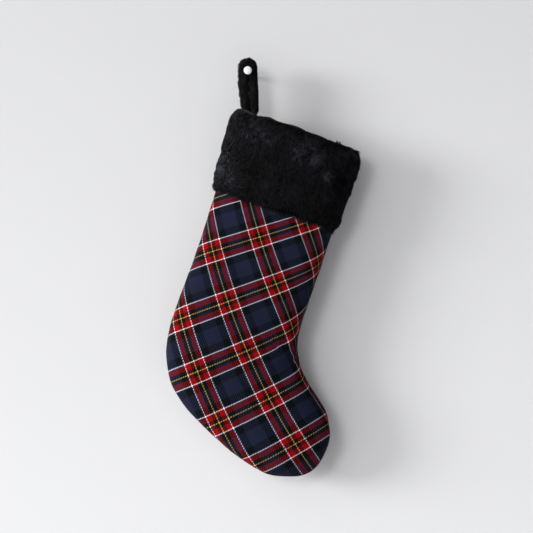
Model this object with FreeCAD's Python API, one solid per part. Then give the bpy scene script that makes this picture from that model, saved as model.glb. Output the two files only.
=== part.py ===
"""Hanging stocking: a plaid cloth boot with a deep fur cuff and a fur hanging loop.

Frame, in millimetres: +Z is up, +X runs from the heel side of the boot to its toe side, and
+Y points at the wall that it hangs against.  The origin is the centre of the eye that the
loop makes round a peg, so the whole boot hangs below it.
The boot is a pouch of two cloth halves, lined with two thinner halves.  Every half lies on
its own side of the plane Y = 0, where the side seams run.
"""
import FreeCAD, Part
import math
import os

# ---- driving dimensions ------------------------------------------------------------------
CLOTH = 2.4             # plaid cloth with the soft interlining bonded to it
LINING_GAP = 0.3        # air between the cloth and the lining
LINING = 0.8
SEAM = 0.6              # width of a pressed seam, across the plane where two halves meet
SQUARENESS = 2.6        # exponent of a cross-section: 2 is an ellipse, more is fuller
SECTION_POINTS = 24     # interpolation points round one cross-section
STATION_COUNT = 22      # cross-sections that the boot's surface runs through
LOFT_DEGREE = 3

MOUTH_LEAN = -19.1      # degrees; the mouth drops towards the toe side
MOUTH_CENTRE = (70.2, -81.1)
EXTENSION = 24.0        # how far the hollow runs on past the mouth, to cut it open

FUR_CLOTH = 1.6         # fur backing with its pile pressed flat
FACING = 0.6            # lining of the cuff, next to the boot
FACING_GAP = 0.5
CUFF_ROUNDING = 6.0     # how far the cuff's rims draw in
CUFF_SHOULDER = 9.0     # height of the rounded rim

EYE_RADIUS = 4.0
STRAP_WIDTH = 20.0      # along the peg
STRAP_EDGE = 3.0        # rounding of the strap's long edges
STRAP_SLIT = 0.5        # air between the strap's two legs
CROWN_RADIUS = 12.4
CROWN_CENTRE = (-0.4, 5.4)
STRAP_LEFT = [(-12.2, -20.0), (-8.5, -29.0), (1.0, -38.5), (3.0, -48.5)]
STRAP_RIGHT = [(13.0, -48.5)]
STRAP_PINCH_TOP = -30.0     # from here down the strap narrows to where it is sewn
STRAP_PINCHED = 6.0         # its width along the peg at its foot
STRAP_REACH = 50.0          # half the size of a block that clears the strap on every side
SLIT_OVERRUN = 1.0          # how far the slit runs out past the strap's foot
TAIL_TOP = -70.0
TAIL_BOTTOM = -80.0
TAIL_WIDTH = 13.0
THREAD = 0.8
TOUCH = 0.01                # two places nearer than this are the same place
BLOCK = 1500.0              # a block that is larger than the whole stocking
PEG_AXIS = FreeCAD.Vector(0, 1, 0)

# Stations of the boot, from the mouth down the leg, round the heel and into the toe:
# centre x, centre z, lean of the cross-section in degrees, half width, half depth.
BOOT_STATIONS = [
    (70.2, -81.1, -19.1, 82.0, 24.0),
    (29.6, -213.0, -20.0, 85.0, 28.0),
    (13.4, -264.1, -18.6, 84.5, 30.0),
    (-4.5, -315.4, -15.5, 85.3, 31.0),
    (-18.9, -361.8, -9.4, 88.6, 32.0),
    (-21.9, -393.0, -1.0, 91.3, 32.0),
    (-16.2, -420.0, 8.0, 89.5, 31.5),
    (0.3, -448.5, 16.0, 83.4, 30.5),
    (21.0, -473.0, 22.0, 76.5, 29.0),
    (43.5, -497.3, 28.0, 69.3, 27.0),
    (63.0, -520.5, 32.0, 57.7, 23.0),
    (75.0, -537.7, 32.0, 41.2, 17.0),
    (82.0, -547.5, 32.0, 24.0, 9.0),
]

# Stations of the cuff, at its top and its bottom edge, in the same terms.
CUFF_TOP = (71.0, -78.6, -19.1, 96.5, 33.0)
CUFF_BOTTOM = (34.5, -194.5, -20.4, 91.5, 37.0)


# ---- geometry ----------------------------------------------------------------------------
def across(lean):
    """Unit vector along a cross-section's width."""
    return FreeCAD.Vector(math.cos(math.radians(lean)), 0, math.sin(math.radians(lean)))


def up_from(lean):
    """Unit vector square to a cross-section, pointing back up the boot."""
    return FreeCAD.Vector(-math.sin(math.radians(lean)), 0, math.cos(math.radians(lean)))


def section(station, inset=0.0, rise=0.0):
    """Closed curve round the boot at one station, drawn in by inset and lifted by rise."""
    x, z, lean, half_width, half_depth = station
    middle = FreeCAD.Vector(x, 0, z) + up_from(lean) * rise
    width = half_width - inset
    depth = half_depth - inset
    points = []
    for step in range(SECTION_POINTS):
        angle = 2 * math.pi * step / SECTION_POINTS
        cosine = math.cos(angle)
        sine = math.sin(angle)
        along = math.copysign(abs(cosine) ** (2 / SQUARENESS), cosine) * width
        outward = math.copysign(abs(sine) ** (2 / SQUARENESS), sine) * depth
        points.append(middle + across(lean) * along + FreeCAD.Vector(0, outward, 0))
    curve = Part.BSplineCurve()
    curve.interpolate(points, PeriodicFlag=True)
    return Part.Wire(curve.toShape())


def even_stations(stations, count):
    """The same boot in evenly spaced stations, on smooth curves through the given ones."""
    distances = [0.0]
    for before, after in zip(stations, stations[1:]):
        distances.append(distances[-1] + math.hypot(after[0] - before[0], after[1] - before[1]))
    spine = Part.BSplineCurve()
    spine.interpolate([FreeCAD.Vector(x, 0, z) for x, z, *_ in stations], Parameters=distances)
    shape = Part.BSplineCurve()
    shape.interpolate([FreeCAD.Vector(*sizes) for _, _, *sizes in stations], Parameters=distances)
    even = []
    for step in range(count):
        distance = distances[-1] * step / (count - 1)
        place = spine.value(distance)
        sizes = shape.value(distance)
        even.append((place.x, place.z, sizes.x, sizes.y, sizes.z))
    return even


STATIONS = even_stations(BOOT_STATIONS, STATION_COUNT)


def boot(inset, rise=0.0):
    """Solid that fills the boot, drawn in by inset; rise lifts its top past the mouth."""
    wires = []
    if rise:
        wires.append(section(STATIONS[0], inset, rise))
    for station in STATIONS[:-1]:
        wires.append(section(station, inset))
    wires.append(section(STATIONS[-1], inset, inset))
    return Part.makeLoft(wires, True, False, False, LOFT_DEGREE)


def cuff_block(inset):
    """Solid that fills the cuff, drawn in by inset on every side, with rounded rims."""
    wires = [
        section(CUFF_TOP, inset + CUFF_ROUNDING, -inset),
        section(CUFF_TOP, inset, -CUFF_SHOULDER),
        section(CUFF_BOTTOM, inset, CUFF_SHOULDER),
        section(CUFF_BOTTOM, inset + CUFF_ROUNDING, inset),
    ]
    return Part.makeLoft(wires, True, True)


def slab(low_y, high_y):
    """Everything between two planes of constant Y."""
    corner = FreeCAD.Vector(-BLOCK / 2, low_y, -BLOCK)
    return Part.makeBox(BLOCK, high_y - low_y, BLOCK * 2, corner)


def below_mouth(drop):
    """Everything lower than the mouth's plane, by drop."""
    block = Part.makeBox(BLOCK, BLOCK, BLOCK, FreeCAD.Vector(-BLOCK / 2, -BLOCK / 2, -BLOCK))
    block.rotate(FreeCAD.Vector(0, 0, 0), FreeCAD.Vector(0, 1, 0), -MOUTH_LEAN)
    centre = FreeCAD.Vector(MOUTH_CENTRE[0], 0, MOUTH_CENTRE[1])
    block.translate(centre - up_from(MOUTH_LEAN) * drop)
    return block


FRONT = slab(-BLOCK, -SEAM / 2)
BACK = slab(SEAM / 2, BLOCK)
MIDDLE = slab(-SEAM / 2, SEAM / 2)


def halves(shell, front_name, back_name, seam_name):
    """A shell cut into its front half, its back half and the seam between them."""
    return {
        front_name: shell.common(FRONT),
        back_name: shell.common(BACK),
        seam_name: shell.common(MIDDLE),
    }


def boot_parts():
    """Outer cloth, lining and the seam round the mouth that joins them to the cuff."""
    body = below_mouth(SEAM)
    lining_face = CLOTH + LINING_GAP
    hollow = boot(lining_face + LINING, EXTENSION)
    outer = boot(0.0).cut(boot(CLOTH, EXTENSION)).common(body)
    lining = boot(lining_face).cut(hollow).common(body)
    parts = halves(outer, "front_panel", "back_panel", "outer_side_seam")
    parts.update(halves(lining, "front_lining", "back_lining", "lining_side_seam"))
    parts["mouth_seam"] = boot(0.0).cut(hollow).cut(body)
    return parts


def cuff_parts():
    """Fur band that hangs from the mouth over the leg, and the facing inside it."""
    cavity = cuff_block(FUR_CLOTH)
    hollow = boot(CLOTH + LINING_GAP + LINING, EXTENSION)
    leg = boot(-FACING_GAP)
    band = cuff_block(0.0).cut(cavity).cut(hollow).cut(leg)
    parts = halves(band, "cuff_front", "cuff_back", "cuff_side_seams")
    facing = boot(-FACING_GAP - FACING).cut(leg).common(cavity)
    facing_parts = halves(facing, "cuff_facing_front", "cuff_facing_back", "cuff_facing_seams")
    parts.update(facing_parts)
    return parts


def strap_outline():
    """Front view of the strap: up its left edge, over the crown and down its right edge."""
    centre = FreeCAD.Vector(CROWN_CENTRE[0], 0, CROWN_CENTRE[1])
    left = centre + FreeCAD.Vector(-CROWN_RADIUS, 0, 0)
    top = centre + FreeCAD.Vector(0, 0, CROWN_RADIUS)
    right = centre + FreeCAD.Vector(CROWN_RADIUS, 0, 0)
    left_edge = [FreeCAD.Vector(x, 0, z) for x, z in STRAP_LEFT]
    right_edge = [FreeCAD.Vector(x, 0, z) for x, z in STRAP_RIGHT]
    edges = [Part.Arc(left, top, right).toShape()]
    corners = [right] + right_edge + left_edge[::-1] + [left]
    for start, end in zip(corners, corners[1:]):
        edges.append(Part.LineSegment(start, end).toShape())
    return Part.Wire(Part.__sortEdges__(edges))


def strap_side_profile():
    """Solid that holds the strap's side view: even down to the pinch, then narrower."""
    half = STRAP_WIDTH / 2
    foot = STRAP_PINCHED / 2
    foot_z = STRAP_LEFT[-1][1]
    corners = [(-half, STRAP_WIDTH), (half, STRAP_WIDTH), (half, STRAP_PINCH_TOP), (foot, foot_z),
               (-foot, foot_z), (-half, STRAP_PINCH_TOP), (-half, STRAP_WIDTH)]
    wire = Part.makePolygon([FreeCAD.Vector(-STRAP_REACH, y, z) for y, z in corners])
    return Part.Face(wire).extrude(FreeCAD.Vector(STRAP_REACH * 2, 0, 0))


def strap_plate():
    """The strap's two legs and crown as one block, with rounded long edges."""
    half = STRAP_WIDTH / 2
    plate = Part.Face(strap_outline()).extrude(FreeCAD.Vector(0, STRAP_WIDTH, 0))
    plate.translate(FreeCAD.Vector(0, -half, 0))
    foot_z = STRAP_LEFT[-1][1]
    rims = []
    for edge in plate.Edges:
        middle = edge.CenterOfMass
        on_a_side = abs(abs(middle.y) - half) < TOUCH
        if on_a_side and middle.z > foot_z:
            rims.append(edge)
    return plate.makeFillet(STRAP_EDGE, rims)


def strap_slit():
    """The thin gap between the strap's two legs, from the eye down through the foot."""
    foot_x = (STRAP_LEFT[-1][0] + STRAP_RIGHT[-1][0]) / 2
    below = STRAP_LEFT[-1][1] - SLIT_OVERRUN
    half = STRAP_SLIT / 2
    corners = [(-half, 0), (half, 0), (foot_x + half, below), (foot_x - half, below), (-half, 0)]
    outline = Part.makePolygon([FreeCAD.Vector(x, -STRAP_WIDTH, z) for x, z in corners])
    return Part.Face(outline).extrude(FreeCAD.Vector(0, STRAP_WIDTH * 2, 0))


def hanging_loop():
    """Fur strap folded over the peg, with the eye and the gap between its legs."""
    eye = Part.makeCylinder(EYE_RADIUS, STRAP_WIDTH * 2, FreeCAD.Vector(0, -STRAP_WIDTH, 0), PEG_AXIS)
    return strap_plate().cut(eye).cut(strap_slit()).common(strap_side_profile())


def edge_stitching():
    """Line of thread over the crown, on the edge that faces the wall."""
    start = FreeCAD.Vector(0, STRAP_WIDTH / 2, 0)
    radius = (CROWN_RADIUS + EYE_RADIUS) / 2
    outer = Part.makeCylinder(radius + THREAD / 2, THREAD, start, PEG_AXIS)
    ring = outer.cut(Part.makeCylinder(radius - THREAD / 2, THREAD, start, PEG_AXIS))
    corner = FreeCAD.Vector(-STRAP_REACH, 0, -STRAP_REACH)
    lower = Part.makeBox(STRAP_REACH * 2, STRAP_WIDTH, STRAP_REACH, corner)
    return ring.cut(lower)


def sewn_ends():
    """The strap's two ends, side by side inside the mouth."""
    left = STRAP_LEFT[-1][0]
    leg_width = (STRAP_RIGHT[-1][0] - left - STRAP_SLIT) / 2
    tails = []
    for start in (left, left + leg_width + STRAP_SLIT):
        corner = FreeCAD.Vector(start, -TAIL_WIDTH / 2, TAIL_BOTTOM)
        tails.append(Part.makeBox(leg_width, TAIL_WIDTH, TAIL_TOP - TAIL_BOTTOM, corner))
    return Part.makeCompound(tails)


def bartack():
    """Bars of thread across both faces of the sewn ends."""
    left = STRAP_LEFT[-1][0]
    width = STRAP_RIGHT[-1][0] - left
    middle = (TAIL_TOP + TAIL_BOTTOM) / 2
    bars = []
    for side in (-TAIL_WIDTH / 2 - THREAD, TAIL_WIDTH / 2):
        corner = FreeCAD.Vector(left, side, middle - THREAD)
        bars.append(Part.makeBox(width, THREAD, THREAD * 2, corner))
    return Part.makeCompound(bars)


def strap_parts():
    """Fur strap, its edge stitching, and its sewn ends in the mouth."""
    return {
        "hanging_loop": hanging_loop(),
        "loop_edge_stitching": edge_stitching(),
        "loop_sewn_ends": sewn_ends(),
        "loop_bartack": bartack(),
    }


# ---- all the parts -----------------------------------------------------------------------
def main():
    """Writes one STEP file per part and prints each part's size."""
    os.makedirs("parts", exist_ok=True)
    parts = strap_parts()
    parts.update(boot_parts())
    parts.update(cuff_parts())
    for name, shape in parts.items():
        shape.exportStep("parts/" + name + ".step")
        box = shape.BoundBox
        print(f"{name:22s} solids {len(shape.Solids)} valid {shape.isValid()}")
        print(f"    x {box.XMin:.1f} {box.XMax:.1f}  y {box.YMin:.1f} {box.YMax:.1f}"
              f"  z {box.ZMin:.1f} {box.ZMax:.1f}")


main()
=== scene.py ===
"""Looks of the hanging stocking: plaid cloth boot, black fur cuff and fur hanging loop.

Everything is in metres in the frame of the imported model: +Z up, +X to the toe side, +Y to the
wall, with the origin in the eye of the hanging loop.
"""
import math

import bmesh
import bpy
import numpy as np
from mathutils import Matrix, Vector, kdtree


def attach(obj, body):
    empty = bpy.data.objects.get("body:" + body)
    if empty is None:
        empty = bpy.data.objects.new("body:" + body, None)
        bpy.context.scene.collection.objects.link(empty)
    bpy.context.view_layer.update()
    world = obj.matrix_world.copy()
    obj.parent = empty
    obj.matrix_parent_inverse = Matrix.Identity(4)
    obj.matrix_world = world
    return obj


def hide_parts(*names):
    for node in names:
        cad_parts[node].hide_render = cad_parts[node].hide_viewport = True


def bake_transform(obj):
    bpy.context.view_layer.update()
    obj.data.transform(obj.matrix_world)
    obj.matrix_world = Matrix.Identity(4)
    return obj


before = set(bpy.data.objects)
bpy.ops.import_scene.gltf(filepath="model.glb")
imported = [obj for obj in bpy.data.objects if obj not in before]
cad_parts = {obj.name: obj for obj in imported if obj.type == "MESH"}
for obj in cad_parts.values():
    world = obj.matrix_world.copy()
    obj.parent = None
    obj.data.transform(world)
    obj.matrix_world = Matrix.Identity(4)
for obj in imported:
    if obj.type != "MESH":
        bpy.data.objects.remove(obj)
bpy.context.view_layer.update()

MM = 0.001
SEED = 20

# ---- the boot, as in the CAD model: centre x, centre z, lean, half width, half depth -------
BOOT_STATIONS = np.array([
    (70.2, -81.1, -19.1, 82.0, 24.0),
    (29.6, -213.0, -20.0, 85.0, 28.0),
    (13.4, -264.1, -18.6, 84.5, 30.0),
    (-4.5, -315.4, -15.5, 85.3, 31.0),
    (-18.9, -361.8, -9.4, 88.6, 32.0),
    (-21.9, -393.0, -1.0, 91.3, 32.0),
    (-16.2, -420.0, 8.0, 89.5, 31.5),
    (0.3, -448.5, 16.0, 83.4, 30.5),
    (21.0, -473.0, 22.0, 76.5, 29.0),
    (43.5, -497.3, 28.0, 69.3, 27.0),
    (63.0, -520.5, 32.0, 57.7, 23.0),
    (75.0, -537.7, 32.0, 41.2, 17.0),
    (82.0, -547.5, 32.0, 24.0, 9.0),
])
SQUARENESS = 2.6        # exponent of a cross-section: 2 is an ellipse, more is fuller
TOE_CAP = 7.0           # how far the closed toe runs on past the last station, in mm
TOE_ROUND = 0.8         # where on a circle's radius the closing curve of the toe begins
CUFF_TOP = np.array((71.0, -78.6, -19.1, 96.5, 33.0))
CUFF_BOTTOM = np.array((34.5, -194.5, -20.4, 91.5, 37.0))

CLOTH = 1.6 * MM
LINING = 0.5 * MM
LINING_INSET = 2.8 * MM
PILE_LENGTH = 9.5 * MM


# ---- numbers and curves ---------------------------------------------------------------------
def spline(knots, values, at):
    """Values of the smooth curve through given knots, with free ends."""
    knots = np.asarray(knots, float)
    values = np.asarray(values, float)
    count = len(knots)
    gap = np.diff(knots)
    slope = np.diff(values, axis=0) / gap[:, None]
    system = np.eye(count)
    right = np.zeros_like(values)
    for i in range(1, count - 1):
        system[i, i - 1:i + 2] = gap[i - 1], 2 * (gap[i - 1] + gap[i]), gap[i]
        right[i] = 6 * (slope[i] - slope[i - 1])
    bend = np.linalg.solve(system, right)
    i = np.clip(np.searchsorted(knots, at) - 1, 0, count - 2)
    after = (knots[i + 1] - at)[:, None]
    before = (at - knots[i])[:, None]
    h = gap[i][:, None]
    curve = (bend[i] * after ** 3 + bend[i + 1] * before ** 3) / (6 * h)
    low = (values[i] / h - bend[i] * h / 6) * after
    high = (values[i + 1] / h - bend[i + 1] * h / 6) * before
    return curve + low + high


def ripple(points, size, seed):
    """Smooth pseudo-random value from about -1 to 1 at each point, with features of a size."""
    draw = np.random.default_rng(seed)
    total = np.zeros(points.shape[:-1])
    for _ in range(7):
        direction = draw.normal(size=3)
        direction /= np.linalg.norm(direction)
        wave = size * draw.uniform(0.7, 1.6)
        total += np.sin(points @ direction * 2 * math.pi / wave + draw.uniform(0, 2 * math.pi))
    return total / 3.5


def unit(vectors):
    return vectors / np.maximum(np.linalg.norm(vectors, axis=-1, keepdims=True), 1e-12)


def step(low, high, value):
    """0 below low, 1 above high, smooth between."""
    t = np.clip((value - low) / (high - low), 0, 1)
    return t * t * (3 - 2 * t)


# ---- surfaces -------------------------------------------------------------------------------
knot_step = np.hypot(*np.diff(BOOT_STATIONS[:, :2], axis=0).T)
BOOT_KNOTS = np.concatenate([[0], np.cumsum(knot_step)])
BOOT_LENGTH = BOOT_KNOTS[-1]


def boot_stations(distances):
    """Stations of the boot in mm at distances from its mouth, with the toe closed at the end."""
    inside = np.minimum(distances, BOOT_LENGTH)
    stations = spline(BOOT_KNOTS, BOOT_STATIONS, inside)
    past = np.clip((distances - BOOT_LENGTH) / TOE_CAP, 0, 1)
    lean = np.radians(stations[:, 2])
    stations[:, 0] += np.sin(lean) * past * TOE_CAP
    stations[:, 1] -= np.cos(lean) * past * TOE_CAP
    round_from = TOE_ROUND + (1 - TOE_ROUND) * past
    closing = np.sqrt(np.clip(1 - round_from ** 2, 0, 1) / (1 - TOE_ROUND ** 2))
    stations[:, 3] = np.maximum(stations[:, 3] * closing, 0.3)
    stations[:, 4] = np.maximum(stations[:, 4] * closing, 0.1)
    return stations


def half_surface(stations, side, columns, inset=0.0):
    """Grid over the front (side -1) or back (side 1) half of the sections at the stations.

    Returns points in metres, and each point's distance across the section and along its curve,
    both measured from the section's middle.
    """
    angle = np.linspace(math.pi, 0, 361)
    cosine, sine = np.cos(angle), np.sin(angle)
    shape_across = np.sign(cosine) * np.abs(cosine) ** (2 / SQUARENESS)
    shape_out = np.abs(sine) ** (2 / SQUARENESS)
    even = np.linspace(0, 1, columns)
    points, flats, arcs = [], [], []
    for x, z, lean, width, depth in stations:
        width = max(width * MM - inset, 0.0002)
        depth = max(depth * MM - inset, 0.0001)
        across = shape_across * width
        out = shape_out * depth
        run = np.concatenate([[0], np.cumsum(np.hypot(np.diff(across), np.diff(out)))])
        across = np.interp(even * run[-1], run, across)
        out = np.interp(even * run[-1], run, out)
        cosine_lean, sine_lean = math.cos(math.radians(lean)), math.sin(math.radians(lean))
        points.append(np.stack([
            x * MM + across * cosine_lean, side * out, z * MM + across * sine_lean], axis=1))
        flats.append(across)
        arcs.append((even - 0.5) * run[-1])
    return np.array(points), np.array(flats), np.array(arcs)


SEAM_GAP = 0.2 * MM         # the halves stop this far short of the plane where they meet


def keep_side(grid, side, gap=SEAM_GAP):
    """Moves points that crossed the seam's plane back to their own side of it."""
    grid[..., 1] = side * np.maximum(side * grid[..., 1], gap)


def grid_normals(points, outward):
    """Unit normals of a grid of points, turned to agree with a rough outward direction."""
    down = np.gradient(points, axis=0)
    along = np.gradient(points, axis=1)
    normal = unit(np.cross(along, down))
    facing = np.sign(np.sum(normal * outward, axis=-1, keepdims=True))
    facing[facing == 0] = 1
    return normal * facing


def grid_faces(rows, columns, start=0, flip=False):
    corner = np.arange(rows * columns).reshape(rows, columns) + start
    quads = np.stack([corner[:-1, :-1], corner[:-1, 1:], corner[1:, 1:], corner[1:, :-1]], -1)
    quads = quads.reshape(-1, 4)
    return quads[:, ::-1] if flip else quads


def ring_faces(rows, sides):
    """Faces between rows of points that each go round a ring, and a cap on either end."""
    faces = []
    for i in range(rows - 1):
        for j in range(sides):
            a = i * sides + j
            b = i * sides + (j + 1) % sides
            faces.append([a, b, b + sides, a + sides])
    faces.append(list(range(sides)))
    faces.append(list(range((rows - 1) * sides, rows * sides)))
    return faces


def new_object(name, points, faces, material, smooth=True):
    mesh = bpy.data.meshes.new(name)
    mesh.from_pydata(points.tolist(), [], faces if isinstance(faces, list) else faces.tolist())
    mesh.update()
    if smooth:
        mesh.shade_smooth()
    mesh.materials.append(material)
    thing = bpy.data.objects.new(name, mesh)
    bpy.context.scene.collection.objects.link(thing)
    return thing


def float_attribute(thing, name, values):
    attribute = thing.data.attributes.new(name, "FLOAT", "POINT")
    attribute.data.foreach_set("value", np.asarray(values, np.float32).ravel())


def thick_sheet(name, outer, inner, material, attributes=None):
    """Closed piece between two grids of the same size; attributes are float grids by name."""
    rows, columns = outer.shape[:2]
    count = rows * columns
    points = np.concatenate([outer.reshape(-1, 3), inner.reshape(-1, 3)])
    corner = np.arange(count).reshape(rows, columns)
    rim = np.concatenate([corner[0], corner[1:, -1], corner[-1, -2::-1], corner[-2:0:-1, 0]])
    following = np.roll(rim, -1)
    edge = np.stack([following, rim, rim + count, following + count], -1)
    faces = np.concatenate([
        grid_faces(rows, columns), grid_faces(rows, columns, count, True), edge])
    thing = new_object(name, points, faces, material)
    for key, values in (attributes or {}).items():
        float_attribute(thing, key, np.concatenate([values.ravel(), values.ravel()]))
    thing.data.validate()
    make_outward(thing)
    return thing


def make_outward(thing):
    """Turns the faces of a closed mesh outward."""
    shape = bmesh.new()
    shape.from_mesh(thing.data)
    bmesh.ops.recalc_face_normals(shape, faces=shape.faces)
    shape.to_mesh(thing.data)
    shape.free()


def tube(name, path, radius, material, sides=8, closed=False):
    """Round tube along points; radius may differ from point to point."""
    path = np.asarray(path, float)
    count = len(path)
    radius = np.broadcast_to(radius, count)
    if closed:
        forward = unit(np.roll(path, -1, 0) - np.roll(path, 1, 0))
    else:
        forward = unit(np.gradient(path, axis=0))
    side = np.array((0.0, 1.0, 0.0))
    first = unit(np.cross(forward, np.broadcast_to(side, forward.shape)) + 1e-9)
    second = unit(np.cross(forward, first))
    turn = np.linspace(0, 2 * math.pi, sides, endpoint=False)
    ring = first[:, None] * np.cos(turn)[None, :, None] + second[:, None] * np.sin(turn)[None, :, None]
    points = (path[:, None] + ring * radius[:, None, None]).reshape(-1, 3)
    faces = []
    for i in range(count if closed else count - 1):
        for j in range(sides):
            a, b = i * sides + j, i * sides + (j + 1) % sides
            ahead = ((i + 1) % count) * sides
            faces.append([a, b, ahead + (j + 1) % sides, ahead + j])
    if not closed:
        faces.append(list(range(sides))[::-1])
        faces.append(list(range((count - 1) * sides, count * sides)))
    thing = new_object(name, points, faces, material)
    make_outward(thing)
    return thing


def even_path(points, spacing):
    """The same line with points at an even spacing."""
    run = np.concatenate([[0], np.cumsum(np.linalg.norm(np.diff(points, axis=0), axis=1))])
    at = np.linspace(0, run[-1], max(3, int(run[-1] / spacing)))
    return np.stack([np.interp(at, run, points[:, k]) for k in range(3)], axis=1)


def stitched(name, points, radius, pitch, material, closed=False):
    """Seam thread along a line: it swells once a stitch and dips between stitches."""
    path = even_path(points, pitch / 6)
    phase = np.arange(len(path)) / 6.0
    swell = radius * (0.62 + 0.38 * np.abs(np.sin(phase * math.pi)))
    return tube(name, path, swell, material, closed=closed)


# ---- materials ------------------------------------------------------------------------------
def srgb(red, green, blue):
    """Linear colour from 0-255 display values."""
    return tuple(((v / 255 + 0.055) / 1.055) ** 2.4 if v > 10 else v / 255 / 12.92
                 for v in (red, green, blue)) + (1.0,)


class Nodes:
    """Short calls for building one material's node tree."""

    def __init__(self, name):
        self.material = bpy.data.materials.new(name)
        self.material.use_nodes = True
        self.tree = self.material.node_tree
        self.shader = self.tree.nodes["Principled BSDF"]

    def put(self, socket, value):
        if isinstance(value, bpy.types.NodeSocket):
            self.tree.links.new(value, socket)
        else:
            socket.default_value = value

    def node(self, kind, inputs=None, **settings):
        made = self.tree.nodes.new("ShaderNode" + kind)
        for key, value in settings.items():
            setattr(made, key, value)
        for key, value in (inputs or {}).items():
            self.put(made.inputs[key], value)
        return made

    def math(self, operation, first, second=0.0, third=0.0):
        values = {0: first, 1: second, 2: third}
        return self.node("Math", values, operation=operation).outputs[0]

    def attribute(self, name):
        return self.node("Attribute", attribute_name=name).outputs["Fac"]

    def place(self):
        return self.node("TexCoord").outputs["Object"]

    def noise(self, scale, detail=3.0, vector=None, roughness=0.55):
        inputs = {"Scale": scale, "Detail": detail, "Roughness": roughness,
                  "Vector": vector or self.place()}
        return self.node("TexNoise", inputs).outputs["Fac"]

    def spread(self, value, low, high):
        """A value from 0 to 1 turned into one from low to high."""
        inputs = {"Value": value, "To Min": low, "To Max": high}
        return self.node("MapRange", inputs).outputs["Result"]

    def ramp(self, value, stops, interpolation="LINEAR"):
        made = self.node("ValToRGB", {"Fac": value})
        ramp = made.color_ramp
        ramp.interpolation = interpolation
        while len(ramp.elements) < len(stops):
            ramp.elements.new(0.5)
        for element, (position, colour) in zip(ramp.elements, stops):
            element.position = position
            element.color = colour
        return made.outputs["Color"]

    def mix(self, factor, first, second, blend="MIX"):
        made = self.node("Mix", data_type="RGBA", blend_type=blend)
        self.put(made.inputs[0], factor)
        self.put(made.inputs[6], first)
        self.put(made.inputs[7], second)
        return made.outputs[2]

    def scale_colour(self, colour, value):
        made = self.node("VectorMath", {0: colour}, operation="SCALE")
        self.put(made.inputs["Scale"], value)
        return made.outputs[0]

    def bump(self, height, distance, strength=1.0):
        inputs = {"Height": height, "Distance": distance, "Strength": strength}
        self.put(self.shader.inputs["Normal"], self.node("Bump", inputs).outputs["Normal"])

    def finish(self, colour, roughness, **constants):
        self.put(self.shader.inputs["Base Color"], colour)
        self.put(self.shader.inputs["Roughness"], roughness)
        for key, value in constants.items():
            self.shader.inputs[key.replace("_", " ")].default_value = value
        return self.material


NAVY = srgb(36, 42, 65)
BLACK_GREEN = srgb(11, 17, 20)
TEAL = srgb(20, 36, 40)
RED = srgb(143, 8, 12)
WHITE = srgb(228, 234, 250)
YELLOW = srgb(205, 170, 86)
LIKE_SHARE = 0.45           # how much threads of one colour crossing strengthen each other
LIKE_GAIN = 2.8
LINE_ON_TOP = 0.5           # how much the white lines down the leg are kept above the others
THREAD = 0.86 * MM          # pitch of the cloth's threads
WHITE_LINE = 1.25 * MM
SETT_ACROSS = 69.4 * MM     # repeat of the pattern across the leg
SETT_DOWN = 69.8 * MM       # repeat of the pattern down the leg
GROUP_ACROSS = 26.3 * MM    # distance between a group's two white lines
GROUP_DOWN = 27.6 * MM


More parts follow.
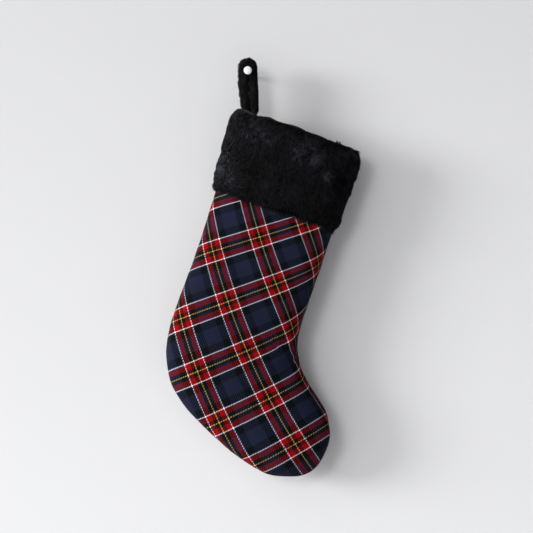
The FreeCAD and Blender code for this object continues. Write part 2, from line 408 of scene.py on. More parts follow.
def plaid_material():
    """Twill plaid: coloured threads both ways, passing over and under two at a time."""
    nodes = Nodes("plaid_wool")
    across, down = nodes.attribute("cloth_across"), nodes.attribute("cloth_down")
    twist = nodes.spread(nodes.noise(260, 2.0), -0.35 * MM, 0.35 * MM)
    down = nodes.math("ADD", down, twist)

    def threads(place, repeat, group):
        turn = nodes.math("FRACT", nodes.math("ADD", nodes.math("DIVIDE", place, repeat), 0.5))
        from_centre = nodes.math("ABSOLUTE", nodes.math("SUBTRACT", turn, 0.5))
        half = group / 2
        line = WHITE_LINE / 2
        ends = [(0.0, YELLOW), (0.62 * MM, BLACK_GREEN), (5.6 * MM, RED), (half - line, WHITE),
                (half + line, TEAL), (half + 2.4 * MM, BLACK_GREEN), (half + 10.9 * MM, NAVY)]
        stops = [(end / repeat * 2, colour) for end, colour in ends]
        return nodes.ramp(nodes.math("MULTIPLY", from_centre, 2.0), stops, "CONSTANT"), from_centre

    warp, _ = threads(across, SETT_ACROSS, GROUP_ACROSS)
    weft, from_centre = threads(down, SETT_DOWN, GROUP_DOWN)
    column = nodes.math("DIVIDE", across, THREAD)
    row = nodes.math("DIVIDE", down, THREAD)
    floor_sum = nodes.math("ADD", nodes.math("FLOOR", column), nodes.math("FLOOR", row))
    over = nodes.math("LESS_THAN", nodes.math("FLOORED_MODULO", floor_sum, 4.0), 1.5)
    in_group = nodes.math("SUBTRACT", from_centre, GROUP_DOWN / SETT_DOWN / 2)
    on_line = nodes.math("LESS_THAN", nodes.math("ABSOLUTE", in_group), WHITE_LINE / 2 / SETT_DOWN)
    kept_over = nodes.math("SUBTRACT", 1.0, nodes.math("MULTIPLY", on_line, LINE_ON_TOP))
    over = nodes.math("MULTIPLY", over, kept_over)
    crossed = nodes.mix(over, weft, warp)
    like = nodes.scale_colour(nodes.mix(1.0, weft, warp, "MULTIPLY"), LIKE_GAIN)
    colour = nodes.mix(LIKE_SHARE, crossed, like)
    nap = nodes.spread(nodes.noise(900, 4.0), 0.35, 1.65)
    worn = nodes.spread(nodes.noise(38, 3.0), 0.88, 1.12)
    colour = nodes.scale_colour(colour, nodes.math("MULTIPLY", nap, worn))
    round_column = nodes.math("SINE", nodes.math("MULTIPLY", column, 2 * math.pi))
    round_row = nodes.math("SINE", nodes.math("MULTIPLY", row, 2 * math.pi))
    weave = nodes.math("MULTIPLY", nodes.math("ADD", round_column, round_row), 0.25)
    height = nodes.math("ADD", weave, nodes.noise(900, 3.0))
    nodes.bump(height, 0.25 * MM, 0.6)
    return nodes.finish(colour, nodes.spread(nodes.noise(300), 0.82, 0.98), Sheen_Weight=0.02,
                        Sheen_Roughness=0.5, Specular_IOR_Level=0.06)


def fur_material(name, dark, light):
    """Plush pile: each strand has its own tone, tips are paler than roots, and painted highlight lifts
    some strands toward the pale colour, as sheen where the pile catches the light.
    """
    nodes = Nodes(name)
    tone_and_highlight = nodes.attribute("strand_tone_and_highlight")
    colour = nodes.mix(tone_and_highlight, dark, light)
    patch = nodes.spread(nodes.noise(55, 2.0), 0.6, 1.5)
    colour = nodes.scale_colour(colour, patch)
    return nodes.finish(colour, nodes.spread(nodes.noise(400), 0.5, 0.75), Specular_IOR_Level=0.18)


def backing_material():
    nodes = Nodes("fur_backing")
    colour = nodes.ramp(nodes.noise(700, 5.0), [(0.3, srgb(4, 4, 5)), (0.75, srgb(15, 15, 18))])
    nodes.bump(nodes.noise(1200, 4.0), 0.8 * MM)
    return nodes.finish(colour, nodes.spread(nodes.noise(350), 0.8, 0.98), Sheen_Weight=0.1)


def lining_material():
    """Plain close weave."""
    nodes = Nodes("lining_weave")
    coordinates = nodes.node("SeparateXYZ", {0: nodes.place()}).outputs
    first = nodes.math("SINE", nodes.math("MULTIPLY", coordinates["X"], 2 * math.pi / (0.5 * MM)))
    second = nodes.math("SINE", nodes.math("MULTIPLY", coordinates["Z"], 2 * math.pi / (0.5 * MM)))
    weave = nodes.math("MULTIPLY", first, second)
    colour = nodes.ramp(nodes.noise(60, 4.0), [(0.2, srgb(22, 22, 26)), (0.8, srgb(38, 38, 44))])
    nodes.bump(nodes.math("ADD", weave, nodes.noise(800)), 0.15 * MM)
    return nodes.finish(colour, nodes.spread(nodes.noise(200), 0.55, 0.75), Sheen_Weight=0.2)


def thread_material(name, dark, light):
    """Twisted thread: fine slanted ridges, with painted shade in the grooves and paler crests."""
    nodes = Nodes(name)
    coordinates = nodes.node("SeparateXYZ", {0: nodes.place()}).outputs
    slant = nodes.math("ADD", coordinates["X"], nodes.math("ADD", coordinates["Y"], coordinates["Z"]))
    twist = nodes.math("SINE", nodes.math("MULTIPLY", slant, 2 * math.pi / (0.6 * MM)))
    # painted shade: the colour follows the ridges, dark in the grooves and pale on the crests
    colour = nodes.mix(nodes.spread(twist, 0.0, 1.0), dark, light)
    nodes.bump(twist, 0.12 * MM)
    return nodes.finish(colour, nodes.spread(nodes.noise(500), 0.5, 0.7), Sheen_Weight=0.1)


PLAID = plaid_material()
# the pale second colour of the pile is its painted highlight, the sheen
FUR = fur_material("fur_pile", srgb(2, 2, 2), srgb(160, 162, 182))
BACKING = backing_material()
LINING_CLOTH = lining_material()
BLACK_THREAD = thread_material("black_thread", srgb(10, 10, 12), srgb(34, 34, 38))
NAVY_THREAD = thread_material("navy_thread", srgb(16, 18, 34), srgb(40, 44, 74))


# ---- where the cloth's pattern lies ---------------------------------------------------------
# The slope, spacing and fan of the plaid's lines, here and above, come from a least-squares fit
# in a separate program to line crossings read off the photograph by hand.
BIAS = 0.342                # slope of the pattern's lines at the middle of the leg, in radians
BIAS_RADIUS = 1.227         # the lines across the boot fan out from a point this far away
BIAS_MIDDLE = (0.0, -0.300)
GROUP_START = (-31.3 * MM, -131.7 * MM)
TURN_TO_RIGHT, TURN_TO_LEFT = 2.7, 0.55     # how far the pattern runs on round either side
ACROSS_BEND, ACROSS_SHEAR, DOWN_BEND = -0.11, -0.60, 0.05


def pattern_place(stations, flats, arcs):
    """Where each point of a boot panel lies in the cloth: across and down the pattern."""
    lean = np.radians(stations[:, 2])[:, None]
    centre_x = stations[:, 0][:, None] * MM
    centre_z = stations[:, 1][:, None] * MM
    turning = np.where(flats > 0, TURN_TO_RIGHT, TURN_TO_LEFT)
    spread = flats + turning * (arcs - flats)
    x = centre_x + np.cos(lean) * spread
    z = centre_z + np.sin(lean) * spread
    pole_x = BIAS_MIDDLE[0] + BIAS_RADIUS * math.cos(BIAS)
    pole_z = BIAS_MIDDLE[1] + BIAS_RADIUS * math.sin(BIAS)
    from_x, from_z = x - pole_x, z - pole_z
    inward = -from_x * math.cos(BIAS) - from_z * math.sin(BIAS)
    downward = from_x * math.sin(BIAS) - from_z * math.cos(BIAS)
    across = BIAS_RADIUS - np.hypot(from_x, from_z)
    down = BIAS_RADIUS * np.arctan2(downward, inward)
    skewed_across = across + ACROSS_BEND * down ** 2 + ACROSS_SHEAR * across * down
    skewed_down = down + DOWN_BEND * across ** 2
    return skewed_across - GROUP_START[0], skewed_down - GROUP_START[1]


# ---- boot -----------------------------------------------------------------------------------
ROWS, COLUMNS = 190, 120
ANKLE = np.array((0.070, 0.0, -0.392))      # the inner bend, where the cloth's folds meet
MOUTH_DROP = 9.0        # the cloth is sewn to the cuff this far below the cuff's top


def boot_rows(count):
    main = np.linspace(MOUTH_DROP, BOOT_LENGTH, count - 10)
    cap = BOOT_LENGTH + TOE_CAP * np.sin(np.linspace(0, math.pi / 2, 11))[1:]
    return np.concatenate([main, cap])


def cloth_relief(points, stations, arcs):
    """How far the cloth stands off its even shape: slack, ankle folds and seam pucker."""
    half_arc = np.abs(arcs).max(axis=1, keepdims=True)
    to_seam = (half_arc - np.abs(arcs)) / MM
    slack = 0.9 * ripple(points, 0.11, 3) + 0.45 * ripple(points, 0.05, 4)
    reach = np.linalg.norm((points - ANKLE)[..., [0, 2]], axis=-1)
    bearing = np.arctan2(points[..., 2] - ANKLE[2], ANKLE[0] - points[..., 0])
    folds = np.cos(bearing * 5.0 + 0.7) * np.exp(-((reach - 0.028) / 0.030) ** 2) * 1.3
    pucker = np.sin(stations[:, 1][:, None] / 9.0 * 2) * np.exp(-to_seam / 5.0) * 0.35
    fade = step(0, 6, to_seam)
    crease = -1.0 * np.exp(-to_seam / 1.1)
    return ((slack + folds) * fade + pucker + crease) * MM


def boot_panel(name, side):
    stations = boot_stations(boot_rows(ROWS))
    outer, flats, arcs = half_surface(stations, side, COLUMNS)
    normals = grid_normals(outer, np.array((0.0, side, 0.0)))
    relief = cloth_relief(outer, stations, arcs)
    relief[-6:] *= np.linspace(1, 0, 6)[:, None]
    outer = outer + normals * relief[..., None]
    keep_side(outer, side, 0.25 * MM)
    inner, _, _ = half_surface(stations, side, COLUMNS, CLOTH)
    keep_side(inner, side)
    across, down = pattern_place(stations, flats, arcs)
    return thick_sheet(name, outer, inner, PLAID, {"cloth_across": across, "cloth_down": down})


def outline(stations, inset=0.0, out=0.0):
    """Left edge, end and right edge of the boot on the plane of its side seams."""
    lean = np.radians(stations[:, 2])
    reach = (stations[:, 3] * MM - inset + out)
    x, z = stations[:, 0] * MM, stations[:, 1] * MM
    left = np.stack([x - np.cos(lean) * reach, 0 * x, z - np.sin(lean) * reach], 1)
    right = np.stack([x + np.cos(lean) * reach, 0 * x, z + np.sin(lean) * reach], 1)
    return np.concatenate([left, right[::-1]])


pieces = {}
pieces["boot_front"] = boot_panel("boot_cloth_front", -1)
pieces["boot_back"] = boot_panel("boot_cloth_back", 1)
pieces["side_seam"] = stitched("boot_side_seam", outline(boot_stations(boot_rows(ROWS)), 0.9 * MM),
                               0.75 * MM, 3.0 * MM, NAVY_THREAD)


def lining_panel(name, side):
    stations = boot_stations(np.linspace(MOUTH_DROP, BOOT_LENGTH, 90))
    outer, _, _ = half_surface(stations, side, 50, LINING_INSET)
    slack = 0.0009 * (1 + ripple(outer, 0.045, 8 + side))
    normals = grid_normals(outer, np.array((0.0, side, 0.0)))
    inner = outer - normals * (slack + LINING)[..., None]
    outer = outer - normals * slack[..., None] * 0.9
    keep_side(outer, side)
    keep_side(inner, side)
    return thick_sheet(name, outer, inner, LINING_CLOTH)


pieces["lining_front"] = lining_panel("lining_cloth_front", -1)
pieces["lining_back"] = lining_panel("lining_cloth_back", 1)
pieces["lining_seam"] = stitched(
    "lining_seam", outline(boot_stations(np.linspace(MOUTH_DROP, BOOT_LENGTH - 4, 120)), 3.6 * MM),
    0.5 * MM, 2.6 * MM, BLACK_THREAD)


def section_ring(station, inset, count=240):
    halves = []
    for side in (-1, 1):
        points, _, _ = half_surface([station], side, count // 2 + 1, inset)
        halves.append(points[0] if side < 0 else points[0][::-1])
    return np.concatenate([halves[0][:-1], halves[1][:-1]])


mouth = boot_stations(np.array([MOUTH_DROP - 0.5]))[0]
pieces["mouth_binding"] = stitched("mouth_binding", section_ring(mouth, 1.6 * MM), 1.9 * MM,
                                   4.2 * MM, BLACK_THREAD, closed=True)


# ---- cuff -----------------------------------------------------------------------------------
CUFF_HEIGHT = float(np.hypot(*(CUFF_TOP - CUFF_BOTTOM)[:2]))
# height below the cuff's top plane in mm, and share of the way from the boot to the pile's tips
CUFF_PROFILE = [(14.0, -0.06), (7.6, 0.0), (4.6, 0.18), (5.2, 0.38), (9.2, 0.50)]
CUFF_CORNER = 23.0          # height of the rounded corners, and how far they draw in
CUFF_CORNER_DRAW = 25.0


def cuff_profile(rows):
    low = [(CUFF_HEIGHT - height, share) for height, share in CUFF_PROFILE[::-1]]
    middle = [(height, 0.5) for height in np.linspace(24, CUFF_HEIGHT - 24, 8)]
    points = np.array(CUFF_PROFILE + middle + low)
    run = np.concatenate([[0], np.cumsum(np.hypot(np.diff(points[:, 0]), np.diff(points[:, 1]) * 12))])
    at = np.linspace(0, run[-1], rows)
    return np.stack([np.interp(at, run, points[:, 0]), np.interp(at, run, points[:, 1])], 1)


def cuff_stations(heights, shares):
    """Sections of the cuff at heights below its top plane; share 0 hugs the boot, 1 is the tips."""
    t = (heights / CUFF_HEIGHT)[:, None]
    envelope = CUFF_TOP * (1 - t) + CUFF_BOTTOM * t
    boot = boot_stations(np.clip(heights - 2.0, 0, None))
    share = shares[:, None]
    made = envelope.copy()
    made[:, 3:] = boot[:, 3:] * (1 - share) + envelope[:, 3:] * share
    made[:, 3:] += 1.2 * (1 - share)
    to_end = np.minimum(heights, CUFF_HEIGHT - heights)
    corner = np.clip(1 - to_end / CUFF_CORNER, 0, 1)
    made[:, 3] -= CUFF_CORNER_DRAW * (1 - np.sqrt(1 - corner ** 2)) * shares
    return made


def cuff_half(name, side):
    profile = cuff_profile(90)
    base, _, _ = half_surface(cuff_stations(profile[:, 0], profile[:, 1]), side, 110)
    outward = unit(base - np.stack([boot_centre(base[..., 2]), 0 * base[..., 1], base[..., 2]], -1))
    normals = grid_normals(base, outward)
    sway = np.stack([ripple(base, 0.026, 31), 0.4 * ripple(base, 0.03, 32), ripple(base, 0.026, 33)], -1)
    calm = step(3.0, 12.0, profile[:, 0])[:, None, None] * 0.4 + 0.6
    base = base + (normals * ripple(base, 0.034, 30)[..., None] * 1.6 + sway * 2.6) * calm * MM
    keep_side(base, side)
    inner = base - normals * 1.0 * MM
    keep_side(inner, side)
    return thick_sheet(name, base, inner, BACKING), base, normals, profile


def boot_centre(z):
    """x of the leg's middle at a height, near enough for telling inside from outside."""
    return np.interp(-z, [0.03, 0.213, 0.264], [0.088, 0.0296, 0.0134])


# places where the pile is ruffled and has a painted highlight, the sheen where it catches the light: x,
# z and size, in mm
RUFFLES_AND_HIGHLIGHTS = [(4.0, -85.0, 11.0), (24.0, -96.0, 10.0), (-31.0, -117.0, 8.0), (-30.0, -136.0, 11.0),
           (-49.0, -157.0, 7.0), (74.0, -112.0, 13.0), (94.0, -124.0, 9.0), (110.0, -146.0, 8.0)]


def ruffled_and_highlit(points):
    """How ruffled the pile is at each point, from 0 to 1; the same value sets the pile's painted
    highlight.
    """
    total = 0.22 * np.clip(ripple(points, 0.045, 77) - 0.25, 0, 1)
    for x, z, size in RUFFLES_AND_HIGHLIGHTS:
        off = np.hypot(points[:, 0] / MM - x, points[:, 2] / MM - z)
        total = total + np.exp(-(off / size) ** 2) * 0.8
    return np.clip(total * (0.6 + 0.5 * ripple(points, 0.009, 78)), 0, 1)


def strands(name, base, normals, reach, comb, count, seed, material, clump_pitch=5.5 * MM,
            length=PILE_LENGTH, width=0.34 * MM, uneven=0.18):
    """Fur: thin tapering ribbons rooted all over a grid, drawn together in clumps.

    reach is how far the pile stands off the grid at each point, and comb the way that it lies.
    """
    draw = np.random.default_rng(seed)
    columns = base.shape[1]
    down = base[1:, :-1] - base[:-1, :-1]
    along = base[:-1, 1:] - base[:-1, :-1]
    area = np.linalg.norm(np.cross(down, along), axis=-1).ravel()
    cell = draw.choice(len(area), size=count, p=area / area.sum())
    i, j = np.divmod(cell, columns - 1)
    u, v = draw.random(count)[:, None], draw.random(count)[:, None]

    def sample(grid):
        grid = grid if grid.ndim == 3 else grid[..., None]
        top = grid[i, j] * (1 - v) + grid[i, j + 1] * v
        bottom = grid[i + 1, j] * (1 - v) + grid[i + 1, j + 1] * v
        return top * (1 - u) + bottom * u

    root, normal = sample(base), unit(sample(normals))
    stand = sample(reach)
    lie = sample(comb)
    lie = unit(lie - normal * np.sum(lie * normal, axis=1, keepdims=True))
    side = np.cross(normal, lie)
    ruffle_and_highlight = ruffled_and_highlit(root)
    swirl = 1.1 * ripple(root, 0.034, seed + 1) + draw.normal(0, 0.3, count)
    swirl = swirl + ruffle_and_highlight * 1.6 * ripple(root, 0.012, seed + 4)
    lie = lie * np.cos(swirl)[:, None] + side * np.sin(swirl)[:, None]
    whole = np.clip(stand / (0.3 * length), 0.3, 1.0)
    size = length * whole * draw.uniform(0.75, 1.12, (count, 1))
    stand = np.minimum(stand * draw.uniform(0.94 - uneven, 0.94 + uneven, (count, 1)), size * 0.97)
    flat = np.sqrt(size ** 2 - stand ** 2)
    tip = root + normal * stand + lie * flat

    total_area = area.sum()
    clumps = max(8, int(total_area / clump_pitch ** 2))
    chosen = draw.choice(count, size=min(clumps, count), replace=False)
    tree = kdtree.KDTree(len(chosen))
    for index, k in enumerate(chosen):
        tree.insert(root[k], index)
    tree.balance()
    nearest = np.array([tree.find(point)[1] for point in root])
    pull = (0.42 + 0.25 * ripple(root, 0.05, seed + 2))[:, None] * draw.uniform(0.6, 1.1, (count, 1))
    pull = np.clip(pull, 0.1, 0.8)
    tip = tip + (tip[chosen][nearest] - tip) * pull

    middle = root + normal * stand * 0.62 + (tip - root - normal * stand) * 0.30
    late = middle * 0.42 + tip * 0.58 + normal * stand * 0.05
    edge = unit(np.cross(tip - root, draw.normal(size=(count, 3)))) * width * 0.5
    edge = edge * draw.uniform(0.7, 1.25, (count, 1))
    points = np.stack([root - edge, root + edge, middle - edge * 0.95, middle + edge * 0.95,
                       late - edge * 0.6, late + edge * 0.6, tip], axis=1)
    start = (np.arange(count) * 7)[:, None]
    quads = np.concatenate([start + [0, 1, 3, 2], start + [2, 3, 5, 4]])
    caps = start + [4, 5, 6]
    faces = quads.tolist() + caps.tolist()
    piece = new_object(name, points.reshape(-1, 3), faces, material)
    clump_tone = draw.random(len(chosen))[nearest]
    tone_and_highlight = 0.05 + 0.04 * clump_tone + draw.normal(0, 0.02, count) + 0.015 * ripple(root, 0.04, seed + 3)
    highlight_speckle = draw.random(count) ** 2 * clump_tone
    # painted highlight: strands in ruffled places are lifted toward the pale colour, some far more than
    # others, as sheen
    tone_and_highlight = np.clip(tone_and_highlight * 0.34 + ruffle_and_highlight * (0.04 + 1.1 * highlight_speckle), 0.0, 1.0)
    grade = np.array([0.05, 0.05, 0.45, 0.45, 0.85, 0.85, 1.0])
    float_attribute(piece, "strand_tone_and_highlight", tone_and_highlight[:, None] * grade[None, :])
    soft = unit(normal[:, None] * 0.55 + unit(np.cross(edge, tip - root))[:, None] * 0.35
                + unit(tip - root)[:, None] * 0.25 + np.zeros((1, 7, 1)))
    piece.data.normals_split_custom_set_from_vertices(soft.reshape(-1, 3).tolist())
    return piece


CUFF_STRANDS = 36000


def cuff_pile(side, base, normals, profile, label):
    """Pile of one half of the cuff, in bands so that no piece grows too large."""
    heights, shares = profile[:, 0], profile[:, 1]
    tips, _, _ = half_surface(cuff_stations(heights, np.ones_like(shares)), side, base.shape[1])
    gap = np.clip(np.sum((tips - base) * normals, axis=-1), 2.8 * MM, 8.0 * MM)
    inner = shares < 0.2
    gap[inner] = 4.0 * MM
    rim = (shares >= 0.2) & (shares < 0.49)
    gap[rim] = np.minimum(gap[rim], 4.9 * MM)
    lean = np.radians(CUFF_TOP[2])
    comb = np.zeros_like(base) + np.array((math.sin(lean), 0.0, -math.cos(lean)))
    bands = 3 if side < 0 else 2
    cuts = np.linspace(0, base.shape[0] - 1, bands + 1).astype(int)
    made = []
    for band in range(bands):
        rows = slice(cuts[band], cuts[band + 1] + 1)
        made.append(strands(
            f"cuff_pile_{label}_{band + 1}", base[rows], normals[rows], gap[rows], comb[rows],
            CUFF_STRANDS, SEED + band * 10 + (100 if side > 0 else 0), FUR))
    return made


pieces["cuff_front"], front_base, front_normals, front_profile = cuff_half("cuff_cloth_front", -1)
pieces["cuff_back"], back_base, back_normals, back_profile = cuff_half("cuff_cloth_back", 1)
front_pile = cuff_pile(-1, front_base, front_normals, front_profile, "front")
back_pile = cuff_pile(1, back_base, back_normals, back_profile, "back")


def cuff_seams():
    """The cuff's two side seams, sunk in the pile."""
    made = []
    for label, column in (("left", 0), ("right", -1)):
        line = (front_base[:, column] + back_base[:, column]) / 2
        made.append(stitched(f"cuff_seam_{label}", line, 0.8 * MM, 3.4 * MM, BLACK_THREAD))
    return made


cuff_seam_pieces = cuff_seams()


FACING_TOP = 14.0       # the facing's top edge below the cuff's top, in mm
FACING_SHORT = 8.0      # how far it stops above the cuff's lower edge


def facing_half(name, side):
    """Thin cloth inside the cuff, next to the leg."""
    heights = np.linspace(FACING_TOP, CUFF_HEIGHT - FACING_SHORT, 50)
    stations = cuff_stations(heights, np.zeros(50))
    outer, _, _ = half_surface(stations, side, 60, -0.5 * MM)
    inner, _, _ = half_surface(stations, side, 60, 0.0)
    keep_side(outer, side)
    keep_side(inner, side)
    return thick_sheet(name, outer, inner, LINING_CLOTH), outer


pieces["facing_front"], facing_front_grid = facing_half("cuff_facing_cloth_front", -1)
pieces["facing_back"], facing_back_grid = facing_half("cuff_facing_cloth_back", 1)


def facing_seams():
    """The facing's two side seams."""
    made = []
    for label, column in (("left", 0), ("right", -1)):
        line = (facing_front_grid[:, column] + facing_back_grid[:, column]) / 2
        made.append(stitched(f"cuff_facing_seam_{label}", line, 0.5 * MM, 2.8 * MM, BLACK_THREAD))
    return made


facing_seam_pieces = facing_seams()


# ---- hanging loop ---------------------------------------------------------------------------
LOOP_PILE = 3.0 * MM        # how far the strap's pile stands off
LOOP_PILE_INSIDE = 0.3 * MM # the same on the faces that lie together
LOOP_STRANDS = 22000
FOOT_FADE = (-0.058, -0.044)    # heights over which the pile on the strap's edges wears short
MOUTH_FADE = (-0.061, -0.051)   # and over which all of it does, inside the mouth
# down the strap from its right foot, over the peg and back: outer x, z and inner x, z, half width
LOOP_STATIONS = np.array([
    (11.0, -68.0, 8.1, -68.0, 4.2),
    (11.6, -60.0, 5.4, -60.0, 4.8),
    (11.6, -50.0, 3.0, -50.0, 5.6),
    (11.4, -38.0, 2.4, -38.0, 6.6),
    (10.8, -24.0, 1.4, -24.0, 7.3),
    (10.2, -12.0, 0.6, -12.0, 7.4),
    (9.8, -5.0, 1.0, -5.0, 7.4),
    (9.4, 2.0, 4.2, -0.5, 7.4),
    (7.4, 10.0, 3.3, 3.2, 7.4),
    (-0.4, 14.6, 0.0, 4.7, 7.4),
    (-8.2, 10.0, -3.3, 3.2, 7.4),
    (-10.2, 2.0, -4.2, -0.5, 7.4),
    (-10.4, -5.0, -0.8, -5.0, 7.4),
    (-10.2, -12.0, -0.2, -12.0, 7.4),
    (-9.7, -24.0, 0.6, -24.0, 7.2),
    (-8.2, -38.0, 1.6, -38.0, 6.4),
    (-6.6, -50.0, 2.6, -50.0, 5.6),
    (-3.2, -60.0, 5.0, -60.0, 4.8),
    (4.2, -68.0, 7.7, -68.0, 4.2),
])


def strap_grid(rows, columns):
    """Closed rounded sections along the folded strap, as a grid that goes round each one."""
    knots = np.arange(len(LOOP_STATIONS))
    at = np.linspace(0, knots[-1], rows)
    station = spline(knots, LOOP_STATIONS, at) * MM
    outer, inner, half = station[:, 0:2], station[:, 2:4], station[:, 4]
    middle = (outer + inner) / 2
    thick = (outer - inner) / 2
    turn = np.linspace(0, 2 * math.pi, columns)
    bulge = np.sign(np.cos(turn)) * np.abs(np.cos(turn)) ** 0.7
    broad = np.sign(np.sin(turn)) * np.abs(np.sin(turn)) ** 0.7
    x = middle[:, 0:1] + thick[:, 0:1] * bulge
    z = middle[:, 1:2] + thick[:, 1:2] * bulge
    y = half[:, None] * broad
    grid = np.stack([x, y + 0 * x, z], axis=-1)
    centre = np.stack([middle[:, 0], 0 * middle[:, 0], middle[:, 1]], -1)[:, None]
    return grid, centre


def hanging_loop():
    grid, centre = strap_grid(120, 41)
    rows, columns = grid.shape[:2]
    points = grid[:, :-1].reshape(-1, 3)
    cloth = new_object("loop_cloth", points, ring_faces(rows, columns - 1), BACKING)
    make_outward(cloth)
    normals = grid_normals(grid, grid - centre)
    inside = np.cos(np.linspace(0, 2 * math.pi, columns)) < -0.45
    reach = np.full(grid.shape[:2], LOOP_PILE)
    reach[:, inside] = LOOP_PILE_INSIDE
    reach = reach * (1 + 0.6 * ripple(grid, 0.006, 51) * (grid[..., 0] < 0))
    edge_on = np.abs(grid[..., 1]) / np.abs(grid[..., 1]).max(axis=1, keepdims=True)
    near_foot = 1 - step(*FOOT_FADE, grid[..., 2])
    inside_mouth = 1 - step(*MOUTH_FADE, grid[..., 2])
    reach = reach * (1 - 0.92 * near_foot * step(0.25, 0.6, edge_on)) * (1 - 0.9 * inside_mouth)
    comb = np.zeros_like(grid) + np.array((0.15, 0.0, -1.0))
    pile = strands("loop_pile", grid, normals, reach, comb, LOOP_STRANDS, SEED + 400, FUR,
                   clump_pitch=3.2 * MM, length=6.2 * MM, width=0.30 * MM, uneven=0.45)
    return cloth, pile


loop_cloth, loop_pile = hanging_loop()


def crown_stitching():
    """Line of stitches over the crown on the edge that faces the wall."""
    turn = np.linspace(0.06, math.pi - 0.06, 60)
    radius = 7.0 * MM
    line = np.stack([radius * np.cos(turn) - 0.4 * MM, np.full(60, 7.6 * MM),
                     radius * np.sin(turn) + 2.4 * MM], 1)
    return stitched("loop_crown_stitching", line, 0.5 * MM, 3.0 * MM, BLACK_THREAD)


loop_stitching = crown_stitching()


# down a sewn end, in mm: height, half its thickness and half its width
END_SECTIONS = [(-60.5, 1.4, 4.4), (-66.0, 1.7, 5.4), (-72.0, 2.0, 6.2), (-78.0, 2.0, 6.3),
                (-79.6, 1.4, 5.8), (-80.0, 0.4, 4.8)]


def loop_ends():
    """The strap's two flattened ends, sewn inside the mouth."""
    made = []
    for label, x in (("left", 5.5), ("right", 10.6)):
        rows = []
        for z, half_thick, half_wide in END_SECTIONS:
            turn = np.linspace(0, 2 * math.pi, 29)
            bulge = np.sign(np.cos(turn)) * np.abs(np.cos(turn)) ** 0.6
            broad = np.sign(np.sin(turn)) * np.abs(np.sin(turn)) ** 0.6
            rows.append(np.stack([x + half_thick * bulge, half_wide * broad, z + 0 * turn], 1))
        grid = np.array(rows) * MM
        points = grid[:, :-1].reshape(-1, 3)
        faces = ring_faces(len(grid), grid.shape[1] - 1)
        piece = new_object(f"loop_end_{label}", points, faces, BACKING)
        make_outward(piece)
        made.append(piece)
    return made


end_pieces = loop_ends()


def bartacks():
    """Dense zigzag of thread across both faces of the sewn ends."""
    made = []
    for label, side in (("front", -1), ("back", 1)):
        turns = 16
        at = np.linspace(0, 1, turns * 8)
        x = (3.6 + at * 8.8) * MM
        z = (-75.0 + 1.1 * np.sin(at * turns * 2 * math.pi / 2)) * MM
        y = np.full(len(at), side * 6.7 * MM)
        made.append(tube(f"loop_bartack_{label}", np.stack([x, y, z], 1), 0.32 * MM, BLACK_THREAD))
    return made


bartack_pieces = bartacks()


# ---- bodies and nodes -----------------------------------------------------------------------
def place(piece, body, slot, *nodes):
    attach(piece, body)
    if nodes:
        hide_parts(*nodes)


place(pieces["boot_front"], "stocking", "plaid_cloth", "front_panel")
place(pieces["boot_back"], "stocking", "plaid_cloth", "back_panel")
place(pieces["side_seam"], "stocking", "seam_thread", "outer_side_seam")
place(pieces["lining_front"], "stocking", "lining_cloth", "front_lining")
place(pieces["lining_back"], "stocking", "lining_cloth", "back_lining")
place(pieces["lining_seam"], "stocking", "lining_cloth", "lining_side_seam")
place(pieces["mouth_binding"], "stocking", "black_thread", "mouth_seam")
place(pieces["cuff_front"], "stocking", "faux_fur", "cuff_front")
place(pieces["cuff_back"], "stocking", "faux_fur", "cuff_back")
for piece in front_pile + back_pile:
    place(piece, "stocking", "faux_fur")
for piece in cuff_seam_pieces:
    place(piece, "stocking", "faux_fur", "cuff_side_seams")
place(pieces["facing_front"], "stocking", "lining_cloth", "cuff_facing_front")
place(pieces["facing_back"], "stocking", "lining_cloth", "cuff_facing_back")
for piece in facing_seam_pieces:
    place(piece, "stocking", "lining_cloth", "cuff_facing_seams")
for piece in end_pieces:
    place(piece, "loop_base", "faux_fur", "loop_sewn_ends")
for piece in bartack_pieces:
    place(piece, "loop_base", "black_thread", "loop_bartack")
place(loop_stitching, "loop", "black_thread", "loop_edge_stitching")
for piece in (loop_cloth, loop_pile):
    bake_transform(piece)
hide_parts("hanging_loop")



# ---- pin, wall, floor, lights and camera ----------------------------------------------------
def stage_material(name, colour, roughness, one_sided=False):
    nodes = Nodes(name)
    nodes.finish(colour, roughness, Specular_IOR_Level=0.2)
    if one_sided:
        clear = nodes.node("BsdfTransparent")
        facing = nodes.node("NewGeometry").outputs["Backfacing"]
        mixed = nodes.node("MixShader", {0: facing, 1: nodes.shader.outputs[0], 2: clear.outputs[0]})
        output = nodes.tree.nodes["Material Output"]
        nodes.tree.links.new(mixed.outputs[0], output.inputs["Surface"])
    return nodes.material


def flat_stage(name, corners, material):
    thing = new_object(name, np.array(corners, float), [[0, 1, 2, 3]], material, smooth=False)
    return thing


def wall_material():
    """Matt paint seen from the front only, with painted light: the colour is a little brighter low down,
    as if the studio light fell stronger there.
    """
    material = stage_material("wall_paint_painted_light", srgb(236, 236, 238), 0.9, one_sided=True)
    tree = material.node_tree
    height = tree.nodes.new("ShaderNodeSeparateXYZ")
    coordinates = tree.nodes.new("ShaderNodeTexCoord")
    graded = tree.nodes.new("ShaderNodeMapRange")
    ramp = tree.nodes.new("ShaderNodeValToRGB")
    tree.links.new(coordinates.outputs["Object"], height.inputs[0])
    tree.links.new(height.outputs["Z"], graded.inputs["Value"])
    graded.inputs["From Min"].default_value = -0.65
    graded.inputs["From Max"].default_value = 0.10
    tree.links.new(graded.outputs["Result"], ramp.inputs["Fac"])
    # painted light: the wall's colour runs brighter low down and darker higher up
    ramp.color_ramp.elements[0].color = (0.82, 0.82, 0.83, 1)
    ramp.color_ramp.elements[1].color = (0.675, 0.675, 0.68, 1)
    tree.links.new(ramp.outputs["Color"], tree.nodes["Principled BSDF"].inputs["Base Color"])
    return material


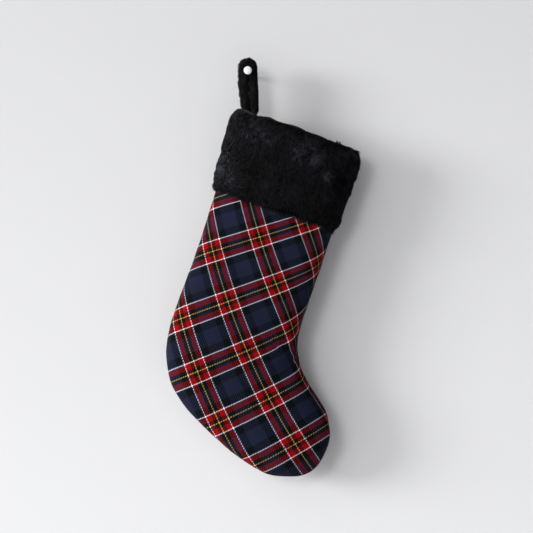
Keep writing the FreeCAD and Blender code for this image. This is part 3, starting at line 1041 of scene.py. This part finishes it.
WALL_Y = 0.041
FLOOR_Z = -0.95
wall = flat_stage("wall", [(-4, WALL_Y, -4), (4, WALL_Y, -4), (4, WALL_Y, 4), (-4, WALL_Y, 4)],
                  wall_material())
wall.visible_shadow = False
wall.visible_diffuse = False
wall.visible_glossy = False
flat_stage("floor", [(-4, -4, FLOOR_Z), (4, -4, FLOOR_Z), (4, 4, FLOOR_Z), (-4, 4, FLOOR_Z)],
           stage_material("floor_paint", srgb(236, 236, 238), 0.8))


PIN_DROP = 2.0 * MM


def lathe(name, profile, material, sides=48):
    """Surface of revolution about the peg's axis; profile is radius and y, in mm."""
    profile = np.array(profile) * MM
    turn = np.linspace(0, 2 * math.pi, sides, endpoint=False)
    points = np.stack([profile[:, 0:1] * np.cos(turn), profile[:, 1:2] + 0 * turn,
                       profile[:, 0:1] * np.sin(turn) - PIN_DROP], -1).reshape(-1, 3)
    thing = new_object(name, points, ring_faces(len(profile), sides), material)
    make_outward(thing)
    return thing


PIN_PROFILE = [(0.4, -17.2), (1.7, -17.2), (2.1, -16.7), (2.5, -17.1), (3.5, -17.0), (3.9, -16.4),
               (4.3, -16.8), (5.1, -16.0), (5.6, -14.6), (5.4, -13.2), (4.3, -12.4), (1.2, -12.0),
               (1.2, 41.0), (0.2, 41.0)]
lathe("wall_pin", PIN_PROFILE,
      stage_material("pin_paint", srgb(236, 237, 240), 0.35))

scene = bpy.context.scene
scene.view_settings.view_transform = "Standard"
world = bpy.data.worlds.new("studio")
world.use_nodes = True
scene.world = world


LIGHT_SIDE, DARK_SIDE = -0.9, 0.20      # sideways directions between which the light falls off


def grade_world(left, right, strength):
    """Studio light from all round that falls off from the left to the right."""
    tree = world.node_tree
    background = tree.nodes["Background"]
    direction = tree.nodes.new("ShaderNodeSeparateXYZ")
    coordinates = tree.nodes.new("ShaderNodeTexCoord")
    graded = tree.nodes.new("ShaderNodeMapRange")
    graded.inputs["From Min"].default_value = LIGHT_SIDE
    graded.inputs["From Max"].default_value = DARK_SIDE
    ramp = tree.nodes.new("ShaderNodeValToRGB")
    ramp.color_ramp.elements[0].color = (left * 0.985, left * 0.99, left, 1)
    ramp.color_ramp.elements[1].color = (right * 0.985, right * 0.99, right, 1)
    tree.links.new(coordinates.outputs["Generated"], direction.inputs[0])
    tree.links.new(direction.outputs["X"], graded.inputs["Value"])
    tree.links.new(graded.outputs["Result"], ramp.inputs["Fac"])
    tree.links.new(ramp.outputs["Color"], background.inputs["Color"])
    background.inputs["Strength"].default_value = strength


grade_world(1.05, 0.06, 1.50)


def area_light(name, place_at, target, size, power):
    lamp = bpy.data.lights.new(name, "AREA")
    lamp.shape = "DISK"
    lamp.size = size
    lamp.energy = power
    thing = bpy.data.objects.new(name, lamp)
    thing.location = place_at
    toward = np.array(target) - np.array(place_at)
    thing.rotation_euler = Vector(toward).to_track_quat("-Z", "Y").to_euler()
    scene.collection.objects.link(thing)
    return thing


KEY_DISTANCE = 4.0
MIDDLE = (0.03, 0.0, -0.27)


def light_from(name, leftward, upward, size, power):
    """Soft light at a slope to the left of the view and above it, for each metre towards it."""
    place_at = (MIDDLE[0] - leftward * KEY_DISTANCE, -KEY_DISTANCE, MIDDLE[2] + upward * KEY_DISTANCE)
    area_light(name, place_at, MIDDLE, size, power)


light_from("key", 0.45, 0.30, 1.2, 40.0)
light_from("side", 2.60, 0.50, 3.6, 1080.0)

CAMERA_DISTANCE = 1.737
lens = bpy.data.cameras.new("camera")
lens.lens = 85
lens.sensor_width = 36
camera = bpy.data.objects.new("camera", lens)
camera.location = (0.0255, -CAMERA_DISTANCE, -0.2705)
camera.rotation_euler = (math.radians(90), 0, 0)
scene.collection.objects.link(camera)
scene.camera = camera
